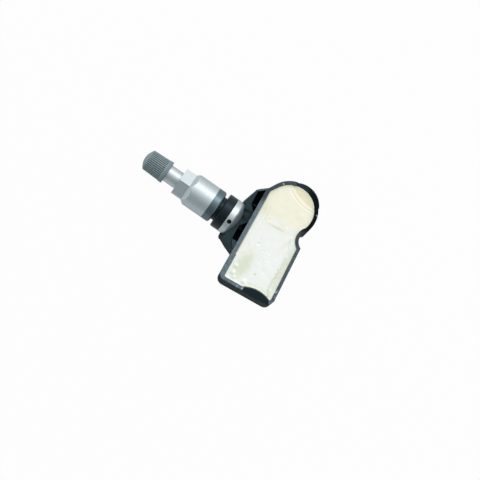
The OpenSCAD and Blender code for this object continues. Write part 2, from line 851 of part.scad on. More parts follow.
// Rubber cup on the pin that shuts the core's lower end
module core_poppet() {
  color("#26292c") on_stem() translate([0, 0, poppet_z]) difference() {
    cylinder(r = poppet_r, h = poppet_l);
    translate([0, 0, -past]) cylinder(r = pin_r, h = poppet_l + past + past);
  }
}

// A point on the coil spring's wire: step along the coil, side around the wire
function wire_point(step, side) =
  let (r = spring_r + spring_wire_r * cos(side * 360 / wire_sides))
  concat(
    polar(r, step * 360 / coil_steps),
    spring_l * step / spring_turns / coil_steps + spring_wire_r * sin(side * 360 / wire_sides)
  );

// Coil spring about the pin, a round wire carried along a helix
module core_spring() {
  rings = spring_turns * coil_steps;
  points = [for (step = [0:rings], side = [0:wire_sides - 1]) wire_point(step, side)];
  first = [for (side = [0:wire_sides - 1]) side];
  last = [for (side = [wire_sides - 1:-1:0]) rings * wire_sides + side];
  sides = [
    for (step = [0:rings - 1], side = [0:wire_sides - 1])
      let (a = step * wire_sides + side, b = step * wire_sides + (side + 1) % wire_sides)
      each [[a, a + wire_sides, b], [b, a + wire_sides, b + wire_sides]]
  ];
  color("#9aa0a3") on_stem() translate([0, 0, core_z + spring_ledge_l + spring_wire_r + rest_gap])
    polyhedron(points, concat([first, last], sides));
}

// Ribbed plastic cap with a plain band at its mouth and a shallow dome
module valve_cap() {
  color("#8d9fa5") on_stem() translate([0, 0, cap_z + rest_gap]) difference() {
    intersection() {
      union() {
        cylinder(r = cap_r, h = cap_band_l);
        cylinder(r1 = cap_r - cap_band_step, r2 = cap_tip_r, h = cap_l);
      }
      translate([0, 0, cap_l - cap_dome_r]) sphere(cap_dome_r);
    }
    for (groove = [0:cap_grooves - 1]) {
      rotate(groove * 360 / cap_grooves) groove_cut();
    }
    translate([0, 0, -past])
      cylinder(r = cap_thread_r + running_play, h = stem_l + core_sink - cap_z + past);
  }
}

// One groove, which follows the cap's taper and runs out at the dome
module groove_cut() {
  taper = atan((cap_r - cap_band_step - cap_tip_r) / cap_l);
  translate([cap_r - cap_band_step - groove_depth, -groove_w / 2, 0]) rotate([0, -taper, 0])
    translate([0, 0, cap_band_l]) cube([groove_depth + past, groove_w, cap_l]);
}

module cap_seal() {
  color("#25282b") on_stem() translate([0, 0, stem_l + rest_gap])
    cylinder(r = cap_thread_r, h = core_sink);
}

housing();
potting();
circuit_board();
battery();
battery_tab_top();
battery_tab_bottom();
pressure_sensor();
port_gasket();
port_filter();
crystal();
coil_core();
coil_winding();
capacitors();
resistors();
antenna();
valve_stem();
clamp_nut();
rubber_seal();
thrust_ring();
hex_nut();
core_barrel();
core_gasket();
core_pin();
core_poppet();
core_spring();
valve_cap();
cap_seal();
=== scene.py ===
"""Looks of a potted tyre pressure sensor with a screwed valve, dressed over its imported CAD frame.

Lengths are millimetres from the battery's axis at the housing's floor: +X towards the valve, +Y to
the housing's square end, +Z out of the potted face. HOME moves them into the part's own frame.
"""

import logging
import math
from dataclasses import dataclass, field
from enum import Enum
from typing import Any, Sequence

import bmesh
import bpy
import numpy as np
from mathutils import Matrix, Vector, noise
from mathutils.kdtree import KDTree


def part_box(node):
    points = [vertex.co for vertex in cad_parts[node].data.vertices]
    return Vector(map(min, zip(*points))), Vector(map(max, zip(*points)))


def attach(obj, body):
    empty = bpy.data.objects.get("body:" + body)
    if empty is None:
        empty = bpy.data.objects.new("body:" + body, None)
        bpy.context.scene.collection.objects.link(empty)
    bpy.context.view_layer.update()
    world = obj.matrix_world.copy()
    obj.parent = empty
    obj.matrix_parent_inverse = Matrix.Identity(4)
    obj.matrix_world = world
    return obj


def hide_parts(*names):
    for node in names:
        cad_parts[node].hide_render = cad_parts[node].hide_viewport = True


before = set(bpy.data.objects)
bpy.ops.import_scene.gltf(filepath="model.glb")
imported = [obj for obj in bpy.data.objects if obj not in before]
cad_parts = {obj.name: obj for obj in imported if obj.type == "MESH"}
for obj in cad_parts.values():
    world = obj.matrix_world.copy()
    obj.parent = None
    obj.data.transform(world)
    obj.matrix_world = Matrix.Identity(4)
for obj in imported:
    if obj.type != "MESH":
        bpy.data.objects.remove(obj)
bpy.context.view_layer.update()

logging.basicConfig(level=logging.INFO, format="%(levelname)s %(message)s")
log = logging.getLogger("tyre_pressure_sensor")

MM = 0.001
CELL_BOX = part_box("battery")
HOME = Vector(
    (
        (CELL_BOX[0][0] + CELL_BOX[1][0]) / 2 / MM,
        (CELL_BOX[0][1] + CELL_BOX[1][1]) / 2 / MM,
        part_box("housing")[0][2] / MM,
    )
)
STEM_PITCH = math.radians(4.64)
STEM_YAW = math.radians(4.6)
YAWED = Matrix.Rotation(-STEM_YAW, 4, "Z")
ALONG_STEM = YAWED @ Matrix.Rotation(math.pi / 2 - STEM_PITCH, 4, "Y")


class Body(str, Enum):
    """The moving bodies that new pieces can ride on."""

    HOUSING = "housing"
    STEM = "stem"
    RING = "ring"
    NUT = "nut"
    CAP = "cap"


class Slot(str, Enum):
    """The record's material slot names; no piece in this script takes its finish from them."""

    RESIN = "resin"
    PLASTIC = "housing_plastic"
    ALUMINIUM = "stem_aluminium"


class Axis(str, Enum):
    """Which frame a finish's pattern follows."""

    PART = "part"
    STEM = "stem"


# ---- small shared helpers ----


def linear(colour: str) -> tuple[float, float, float, float]:
    """Turn an sRGB hex colour into linear RGBA.

    Args:
        colour: A hex value such as ``#8DA0A5``.

    Returns:
        Linear red, green and blue, with an alpha of one.
    """
    parts = [int(colour[i : i + 2], 16) / 255 for i in (1, 3, 5)]
    lin = [p / 12.92 if p <= 0.04045 else ((p + 0.055) / 1.055) ** 2.4 for p in parts]
    return (lin[0], lin[1], lin[2], 1.0)


def add(
    tree: bpy.types.NodeTree,
    kind: str,
    inputs: dict[Any, Any] | None = None,
    **settings: Any,
) -> bpy.types.Node:
    """Add one node, set it up and link it.

    Args:
        tree: The node tree that gets the node.
        kind: The node's type name.
        inputs: Values or sockets for its inputs, by name or number.
        **settings: The node's own properties.

    Returns:
        The new node.
    """
    node = tree.nodes.new(kind)
    for key, value in settings.items():
        setattr(node, key, value)
    for key, value in (inputs or {}).items():
        if isinstance(value, bpy.types.NodeSocket):
            tree.links.new(value, node.inputs[key])
        else:
            node.inputs[key].default_value = value
    return node


def only(obj: bpy.types.Object) -> bpy.types.Object:
    """Leave everything deselected but one object, which becomes the active one.

    Args:
        obj: The object to select.

    Returns:
        The same object.
    """
    if bpy.context.object and bpy.context.object.mode != "OBJECT":
        bpy.ops.object.mode_set(mode="OBJECT")
    bpy.ops.object.select_all(action="DESELECT")
    obj.select_set(True)
    bpy.context.view_layer.objects.active = obj
    return obj


def apply_modifier(obj: bpy.types.Object, kind: str, **settings: Any) -> None:
    """Add a modifier and apply it at once.

    Args:
        obj: The object to change.
        kind: The modifier's type.
        **settings: The modifier's properties.
    """
    only(obj)
    modifier = obj.modifiers.new(kind.lower(), kind)
    for key, value in settings.items():
        setattr(modifier, key, value)
    bpy.ops.object.modifier_apply(modifier=modifier.name)


def copy_of(node: str, name: str) -> bpy.types.Object:
    """Copy a CAD node's mesh into an object of its own, with its loose triangles merged.

    Args:
        node: The CAD node's name.
        name: The copy's name.

    Returns:
        The new object, at the origin.
    """
    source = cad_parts[node]
    obj = bpy.data.objects.new(name, source.data.copy())
    bpy.context.scene.collection.objects.link(obj)
    only(obj)
    bpy.ops.object.mode_set(mode="EDIT")
    bpy.ops.mesh.select_all(action="SELECT")
    bpy.ops.mesh.remove_doubles(threshold=0.000001)
    bpy.ops.object.mode_set(mode="OBJECT")
    return obj


def slab(x: tuple[float, float], y: tuple[float, float], z: tuple[float, float]) -> bpy.types.Object:
    """Add a block that runs level and turned with the stem, in millimetres from its seating face.

    Args:
        x: Where it starts and ends along the stem.
        y: Where it starts and ends across the stem.
        z: Where it starts and ends in height.

    Returns:
        The block, with its place in its mesh.
    """
    bpy.ops.object.select_all(action="DESELECT")
    bpy.ops.mesh.primitive_cube_add(size=1.0)
    block = bpy.context.object
    spans = (x, y, z)
    middle = Vector([sum(span) / 2 * MM for span in spans])
    scale = Matrix.Diagonal([(high - low) * MM for low, high in spans]).to_4x4()
    block.matrix_world = YAWED @ Matrix.Translation(middle) @ scale
    bpy.ops.object.transform_apply(location=True, rotation=True, scale=True)
    return block


def turned(obj: bpy.types.Object, along: float, tall: float = 1.0) -> bpy.types.Object:
    """Lay a newly added round piece on the stem's axis.

    Args:
        obj: The piece, made in metres with its axis along Z.
        along: Where its middle goes along the stem, in millimetres.
        tall: How much taller than wide it is made.

    Returns:
        The same piece, with its place in its mesh.
    """
    only(obj)
    stretch = Matrix.Diagonal((tall, 1.0, 1.0)).to_4x4()
    obj.matrix_world = ALONG_STEM @ Matrix.Translation((0.0, 0.0, along * MM)) @ stretch
    bpy.ops.object.transform_apply(location=True, rotation=True, scale=True)
    return obj


def place(obj: bpy.types.Object, body: Body, finish: "Finish") -> None:
    """Finish a new piece: its place in its mesh, its body and its material.

    Args:
        obj: The new piece.
        body: The body that it rides on.
        finish: How it looks.
    """
    only(obj)
    bpy.ops.object.transform_apply(location=True, rotation=True, scale=True)
    obj.data.materials.clear()
    obj.data.materials.append(finish.material())
    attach(obj, body.value)
    log.info("%s: %d faces, rides on %s", obj.name, len(obj.data.polygons), body.value)


# ---- finishes ----


@dataclass(frozen=True)
class Finish:
    """A surface as it was made: its colour, gloss and grain.

    The grain is a soft mottling in the colour and a slight unevenness in the surface. Grain finer
    than about 0.4 mm wouldn't show at the photograph's scale, so it is drawn that coarse.
    """

    name: str
    colour: str
    roughness: float
    metallic: float = 0.0
    grain_mm: float = 0.5
    mottle: float = 0.08
    bump: float = 0.05
    edge_mm: float = 0.0
    specular: float = 0.5
    gloss_tint: str = "#FFFFFF"
    axis: Axis = Axis.PART

    def coords(self, tree: bpy.types.NodeTree) -> bpy.types.NodeSocket:
        """Object coordinates in millimetres, turned along the stem where the finish follows it.

        Args:
            tree: The material's node tree.

        Returns:
            The vector socket to read.
        """
        where = add(tree, "ShaderNodeTexCoord").outputs["Object"]
        turn = Matrix.Rotation(STEM_PITCH - math.pi / 2, 3, "Y") @ Matrix.Rotation(STEM_YAW, 3, "Z")
        spin = turn.to_euler() if self.axis is Axis.STEM else (0.0, 0.0, 0.0)
        home = (0.0, 0.0, 0.0) if self.axis is Axis.STEM else tuple(-HOME)
        mapped = add(
            tree,
            "ShaderNodeMapping",
            {"Vector": where, "Location": home, "Rotation": spin, "Scale": (1 / MM,) * 3},
        )
        return mapped.outputs["Vector"]

    def material(self) -> bpy.types.Material:
        """Make the material, or return it if it was made before.

        Returns:
            The material.
        """
        if self.name in bpy.data.materials:
            return bpy.data.materials[self.name]
        mat = bpy.data.materials.new(self.name)
        mat.use_nodes = True
        tree = mat.node_tree
        tree.nodes.clear()
        shader = add(
            tree,
            "ShaderNodeBsdfPrincipled",
            {
                "Metallic": self.metallic,
                "Roughness": self.roughness,
                "Specular IOR Level": self.specular,
                "Specular Tint": linear(self.gloss_tint),
            },
        )
        out = add(tree, "ShaderNodeOutputMaterial", {"Surface": shader.outputs["BSDF"]})
        out.location = (400, 0)
        self.paint(tree, shader, self.coords(tree))
        return mat

    def paint(
        self, tree: bpy.types.NodeTree, shader: bpy.types.Node, where: bpy.types.NodeSocket
    ) -> None:
        """Give the shader its colour, gloss and surface.

        Args:
            tree: The material's node tree.
            shader: Its surface shader.
            where: The coordinates, in millimetres.
        """
        grain = self.grain(tree, where)
        tree.links.new(self.mottled(tree, grain, linear(self.colour)), shader.inputs["Base Color"])
        self.unevenness(tree, shader, grain)

    def grain(self, tree: bpy.types.NodeTree, where: bpy.types.NodeSocket) -> bpy.types.NodeSocket:
        """Noise at the finish's own grain size, from zero to one."""
        field = add(
            tree,
            "ShaderNodeTexNoise",
            {"Vector": where, "Scale": 1 / self.grain_mm, "Detail": 3.0, "Roughness": 0.6},
        )
        return field.outputs["Fac"]

    def mottled(
        self, tree: bpy.types.NodeTree, grain: bpy.types.NodeSocket, colour: Any
    ) -> bpy.types.NodeSocket:
        """Darken and lighten a colour with the grain.

        Args:
            tree: The material's node tree.
            grain: The grain, from zero to one.
            colour: A linear colour or a colour socket.

        Returns:
            The mottled colour.
        """
        share = add(
            tree,
            "ShaderNodeMapRange",
            {0: grain, 1: 0.25, 2: 0.75, 3: 1 - self.mottle, 4: 1 + self.mottle},
        )
        mixed = add(
            tree,
            "ShaderNodeVectorMath",
            {0: colour if isinstance(colour, bpy.types.NodeSocket) else colour[:3], 3: share.outputs[0]},
            operation="SCALE",
        )
        return mixed.outputs[0]

    def unevenness(
        self,
        tree: bpy.types.NodeTree,
        shader: bpy.types.Node,
        height: bpy.types.NodeSocket,
        depth_mm: float = 0.02,
    ) -> None:
        """Turn a height into the shader's normal, over softly rounded edges where there are any.

        Args:
            tree: The material's node tree.
            shader: The surface shader.
            height: The height, from zero to one.
            depth_mm: How deep a height of one is.
        """
        inputs: dict[Any, Any] = {
            "Height": height,
            "Strength": min(1.0, self.bump * 10),
            "Distance": depth_mm * MM,
        }
        if self.edge_mm:
            soft = add(tree, "ShaderNodeBevel", {"Radius": self.edge_mm * MM}, samples=4)
            inputs["Normal"] = soft.outputs[0]
        bump = add(tree, "ShaderNodeBump", inputs)
        tree.links.new(bump.outputs[0], shader.inputs["Normal"])


@dataclass(frozen=True)
class Smear:
    """A thin pale film left on the rim: its middle and how far it reaches, in millimetres."""

    x: float
    y: float
    reach: float


@dataclass(frozen=True)
class PaintedHighlight:
    """A painted highlight along an edge between two points, in millimetres."""

    start: tuple[float, float, float]
    end: tuple[float, float, float]
    reach: float
    strength: float


@dataclass(frozen=True)
class MouldedNylon(Finish):
    """Glass-filled nylon as it comes from the mould: near black and dull; the rim is greyer with painted
    sheen.

    The rim's top face carries painted sheen: paler along the straight walls and at the far end, dark round
    the lobe.
    A few edges carry painted highlights. The bracket's up-facing faces and the walls away from the lobe are
    lighter with painted light.
    A few films of resin lie where it was wiped off.
    """

    # Rim top colour: painted sheen standing in for light reflected off the rim's top face.
    painted_rim_sheen_colour: str = "#74828B"
    film_colour: str = "#C3CCD0"
    # Lighter wall colour: painted light on the bracket's up-facing faces and on the walls away from the lobe.
    painted_lit_colour: str = "#303E43"
    rim_z: float = 15.5
    # Painted highlights along the gusset's ridge and face, a near facet and the near top edge.
    painted_highlights: tuple[PaintedHighlight, ...] = (
        PaintedHighlight((15.6, 24.3, 14.1), (13.3, 28.1, 14.1), 0.45, 1.0),
        PaintedHighlight((14.0, 25.0, 14.1), (13.3, 26.6, 14.1), 1.6, 0.35),
        PaintedHighlight((16.7, -1.0, 12.7), (19.45, 6.7, 12.7), 0.7, 0.5),
        PaintedHighlight((16.2, -1.3, 13.1), (13.2, -2.6, 13.1), 0.9, 0.9),
    )
    smears: tuple[Smear, ...] = (
        Smear(3.75, 41.2, 1.3),
        Smear(1.35, 40.7, 0.9),
        Smear(-11.65, 34.8, 1.2),
        Smear(-13.25, 36.8, 1.4),
        Smear(7.75, -8.2, 0.7),
        Smear(-11.65, -3.3, 0.6),
    )

    def paint(
        self, tree: bpy.types.NodeTree, shader: bpy.types.Node, where: bpy.types.NodeSocket
    ) -> None:
        """Paint the walls dark with painted light away from the lobe, the rim greyer with painted sheen and
        highlights, and the films pale.
        """
        grain = self.grain(tree, where)
        xyz = add(tree, "ShaderNodeSeparateXYZ", {0: where}).outputs
        normal = add(tree, "ShaderNodeNewGeometry").outputs["Normal"]
        up = add(tree, "ShaderNodeSeparateXYZ", {0: normal}).outputs[2]

        def ramp(value: bpy.types.NodeSocket, low: float, high: float) -> bpy.types.NodeSocket:
            """Rise smoothly from zero to one between two values."""
            node = add(
                tree,
                "ShaderNodeMapRange",
                {0: value, 1: low, 2: high, 3: 0.0, 4: 1.0},
                interpolation_type="SMOOTHSTEP",
            )
            return node.outputs[0]

        def both(a: Any, b: Any, how: str = "MULTIPLY") -> bpy.types.NodeSocket:
            """Join two values."""
            return add(tree, "ShaderNodeMath", {0: a, 1: b}, operation=how).outputs[0]

        # Painted sheen: the rim's top face is paler along the straight walls and at the far end, faint
        # elsewhere and dark round the lobe, speckled by the grain, standing in for reflected light.
        top = both(ramp(xyz[2], self.rim_z - 0.25, self.rim_z - 0.05), ramp(up, 0.7, 0.95))
        valve_side = both(ramp(xyz[0], 8.95, 10.75), ramp(xyz[1], -0.8, 5.2))
        far_side = both(0.5, ramp(xyz[1], 10.2, 14.2))
        painted_sheen_zone = both(both(valve_side, far_side, "MAXIMUM"), ramp(xyz[1], 39.0, 40.0), "MAXIMUM")
        lobe = both(ramp(xyz[0], -1.0, -6.0), ramp(xyz[1], 9.0, 4.0))
        painted_lit_side = both(1.0, lobe, "SUBTRACT")
        painted_sheen_zone = both(painted_sheen_zone, both(0.3, painted_lit_side), "MAXIMUM")
        speckle = both(0.55, ramp(grain, 0.25, 0.7))
        pale = both(both(top, painted_sheen_zone), both(speckle, 0.5, "ADD"))
        film: Any = 0.0
        for smear in self.smears:
            gap = add(
                tree,
                "ShaderNodeVectorMath",
                {0: where, 1: (smear.x, smear.y, self.rim_z)},
                operation="DISTANCE",
            ).outputs["Value"]
            film = both(film, ramp(gap, smear.reach, 0.2 * smear.reach), "MAXIMUM")
        # Painted highlights: pale lines along a few edges, speckled by the grain.
        painted_edge_highlight: Any = 0.0
        for painted_streak in self.painted_highlights:
            run = Vector(painted_streak.end) - Vector(painted_streak.start)
            away = add(
                tree, "ShaderNodeVectorMath", {0: where, 1: painted_streak.start}, operation="SUBTRACT"
            ).outputs[0]
            share = add(
                tree, "ShaderNodeVectorMath", {0: away, 1: run / run.length_squared}, operation="DOT_PRODUCT"
            ).outputs["Value"]
            share = add(tree, "ShaderNodeMath", {0: share, 1: 1.0}, operation="MULTIPLY", use_clamp=True)
            foot = add(
                tree, "ShaderNodeVectorMath", {0: run, 3: share.outputs[0]}, operation="SCALE"
            ).outputs[0]
            gap = add(
                tree, "ShaderNodeVectorMath", {0: away, 1: foot}, operation="DISTANCE"
            ).outputs["Value"]
            line = both(painted_streak.strength, ramp(gap, painted_streak.reach, 0.3 * painted_streak.reach))
            painted_edge_highlight = both(painted_edge_highlight, both(line, both(speckle, 0.45, "ADD")), "MAXIMUM")
        pale = both(pale, painted_edge_highlight, "MAXIMUM")
        blots = add(
            tree, "ShaderNodeTexNoise", {"Vector": where, "Scale": 1.4, "Detail": 3.0}
        ).outputs["Fac"]
        film = both(both(film, ramp(blots, 0.45, 0.6)), both(top, 0.75))
        # Painted light: the bracket's up-facing faces and the walls away from the lobe take the lighter
        # colour; the lobe's walls keep the dark one.
        painted_lit_faces = both(ramp(up, 0.2, 0.8), ramp(xyz[1], 24.0, 24.6), "MAXIMUM")
        painted_lit_share = both(both(ramp(xyz[0], 12.9, 13.3), painted_lit_faces), both(0.65, painted_lit_side), "MAXIMUM")
        dark = add(
            tree,
            "ShaderNodeMix",
            {0: painted_lit_share, 6: linear(self.colour), 7: linear(self.painted_lit_colour)},
            data_type="RGBA",
        )
        body = add(
            tree,
            "ShaderNodeMix",
            {0: pale, 6: dark.outputs[2], 7: linear(self.painted_rim_sheen_colour)},
            data_type="RGBA",
        )
        filmed = add(
            tree,
            "ShaderNodeMix",
            {0: film, 6: body.outputs[2], 7: linear(self.film_colour)},
            data_type="RGBA",
        )
        tree.links.new(self.mottled(tree, grain, filmed.outputs[2]), shader.inputs["Base Color"])
        rough = add(
            tree, "ShaderNodeMapRange", {0: film, 1: 0.0, 2: 1.0, 3: self.roughness, 4: 0.2}
        )
        tree.links.new(rough.outputs[0], shader.inputs["Roughness"])
        self.unevenness(tree, shader, grain)


@dataclass(frozen=True)
class CastResin(Finish):
    """Poured polyurethane: milky and glossy, creamier in the lobe and yellow-green where it is thin."""

    lobe_colour: str = "#F9F6E2"
    thin_colour: str = "#DDE5CA"
    pool_colour: str = "#EBE2C0"
    edge_colour: str = "#9BA59D"

    def paint(
        self, tree: bpy.types.NodeTree, shader: bpy.types.Node, where: bpy.types.NodeSocket
    ) -> None:
        """Blend the colours by the tints that the piece carries on its surface."""
        colour: Any = linear(self.colour)
        layers = (
            ("cream", self.lobe_colour),
            ("pool", self.pool_colour),
            ("thin", self.thin_colour),
            ("edge", self.edge_colour),
        )
        for tint, value in layers:
            share = add(tree, "ShaderNodeAttribute", attribute_name=tint).outputs["Fac"]
            mixed = add(
                tree, "ShaderNodeMix", {0: share, 6: colour, 7: linear(value)}, data_type="RGBA"
            )
            colour = mixed.outputs[2]
        grain = self.grain(tree, where)
        tree.links.new(self.mottled(tree, grain, colour), shader.inputs["Base Color"])
        shader.inputs["Subsurface Weight"].default_value = 0.12
        shader.inputs["Subsurface Radius"].default_value = (1.0, 0.9, 0.6)
        shader.inputs["Subsurface Scale"].default_value = 0.0008
        shader.inputs["IOR"].default_value = 1.5
        shader.inputs["Coat Weight"].default_value = 0.3
        shader.inputs["Coat Roughness"].default_value = 0.06
        self.unevenness(tree, shader, grain, depth_mm=0.05)


@dataclass(frozen=True)
class TurnedMetal(Finish):
    """Metal turned on a lathe: fine rings around the stem's axis under a satin sheen."""

    ring_mm: float = 0.45

    def paint(
        self, tree: bpy.types.NodeTree, shader: bpy.types.Node, where: bpy.types.NodeSocket
    ) -> None:
        """Lay the turning rings along the axis, with faint clouds in the gloss."""
        grain = self.grain(tree, where)
        xyz = add(tree, "ShaderNodeSeparateXYZ", {0: where}).outputs
        rings = add(
            tree,
            "ShaderNodeTexNoise",
            {"W": add(tree, "ShaderNodeMath", {0: xyz[2], 1: self.ring_mm}, operation="DIVIDE").outputs[0]},
            noise_dimensions="1D",
        ).outputs["Fac"]
        tree.links.new(self.mottled(tree, grain, linear(self.colour)), shader.inputs["Base Color"])
        cloud = add(
            tree,
            "ShaderNodeMapRange",
            {0: rings, 1: 0.2, 2: 0.8, 3: self.roughness * 0.94, 4: self.roughness * 1.06},
        )
        tree.links.new(cloud.outputs[0], shader.inputs["Roughness"])
        both = add(tree, "ShaderNodeMath", {0: rings, 1: grain}, operation="ADD").outputs[0]
        self.unevenness(tree, shader, both, depth_mm=0.002)


@dataclass(frozen=True)
class RibbedPlastic(Finish):
    """Moulded cap plastic: satin grey, with painted shade down in its grooves and by its mouth."""

    # Colour of the painted shade down in the grooves and by the mouth.
    groove_shade_colour: str = "#46545A"
    mouth_r: float = 5.15
    tip_r: float = 4.75
    from_z: float = 28.0
    to_z: float = 39.7
    groove_mm: float = 0.3

    def paint(
        self, tree: bpy.types.NodeTree, shader: bpy.types.Node, where: bpy.types.NodeSocket
    ) -> None:
        """Darken what lies below the cap's tapered face and a band by its mouth, as painted shade."""
        grain = self.grain(tree, where)
        xyz = add(tree, "ShaderNodeSeparateXYZ", {0: where}).outputs
        flat = add(tree, "ShaderNodeCombineXYZ", {0: xyz[0], 1: xyz[1]}).outputs[0]
        radius = add(tree, "ShaderNodeVectorMath", {0: flat}, operation="LENGTH").outputs["Value"]
        face = add(
            tree,
            "ShaderNodeMapRange",
            {0: xyz[2], 1: self.from_z, 2: self.to_z, 3: self.mouth_r, 4: self.tip_r},
        ).outputs[0]
        sunk = add(tree, "ShaderNodeMath", {0: face, 1: radius}, operation="SUBTRACT").outputs[0]
        # Painted shade: darker down in the grooves, fading out towards the tip, and a band darker by the
        # mouth.
        deep = add(
            tree,
            "ShaderNodeMapRange",
            {0: sunk, 1: 0.05, 2: self.groove_mm * 0.9, 3: 0.0, 4: 1.0},
            interpolation_type="SMOOTHSTEP",
        ).outputs[0]
        below = add(
            tree,
            "ShaderNodeMapRange",
            {0: xyz[2], 1: self.to_z - 1.6, 2: self.to_z - 2.4, 3: 0.0, 4: 1.0},
        ).outputs[0]
        painted_shade = add(tree, "ShaderNodeMath", {0: deep, 1: below}, operation="MULTIPLY").outputs[0]
        lip = add(
            tree,
            "ShaderNodeMapRange",
            {0: xyz[2], 1: self.from_z + 1.6, 2: self.from_z + 1.2, 3: 0.0, 4: 0.35},
        ).outputs[0]
        painted_shade = add(tree, "ShaderNodeMath", {0: painted_shade, 1: lip}, operation="MAXIMUM").outputs[0]
        mixed = add(
            tree,
            "ShaderNodeMix",
            {0: painted_shade, 6: linear(self.colour), 7: linear(self.groove_shade_colour)},
            data_type="RGBA",
        )
        tree.links.new(self.mottled(tree, grain, mixed.outputs[2]), shader.inputs["Base Color"])
        self.unevenness(tree, shader, grain)


# ---- sub-assemblies ----


@dataclass(frozen=True)
class Crease:
    """A ridge or a groove in the resin's skin, along a path in millimetres."""

    path: tuple[tuple[float, float], ...]
    width: float
    height: float
    sway: float = 0.0


@dataclass(frozen=True)
class Bead:
    """A round bump or pit in the resin's skin."""

    x: float
    y: float
    reach: float
    height: float


@dataclass(frozen=True)
class Patch:
    """A soft oval of another tint: its middle, half lengths and turn in degrees."""

    tint: str
    x: float
    y: float
    long: float
    wide: float
    turn: float
    strength: float


def plan_of(vertices: Sequence[bpy.types.MeshVertex]) -> np.ndarray:
    """Places of vertices in plan, in millimetres from the battery's axis.

    Args:
        vertices: The vertices to place.

    Returns:
        One row a vertex.
    """
    return np.array([(v.co.x / MM - HOME.x, v.co.y / MM - HOME.y) for v in vertices])


def from_path(points: np.ndarray, path: Sequence[tuple[float, float]]) -> np.ndarray:
    """How far points lie from a path.

    Args:
        points: Places in millimetres, one to a row.
        path: The path's corners.

    Returns:
        One distance a point.
    """
    best = np.full(len(points), 1e9)
    for a, b in zip(path, path[1:]):
        start, run = np.array(a), np.array(b) - np.array(a)
        t = np.clip(((points - start) @ run) / (run @ run), 0.0, 1.0)
        best = np.minimum(best, np.linalg.norm(points - start - t[:, None] * run, axis=1))
    return best


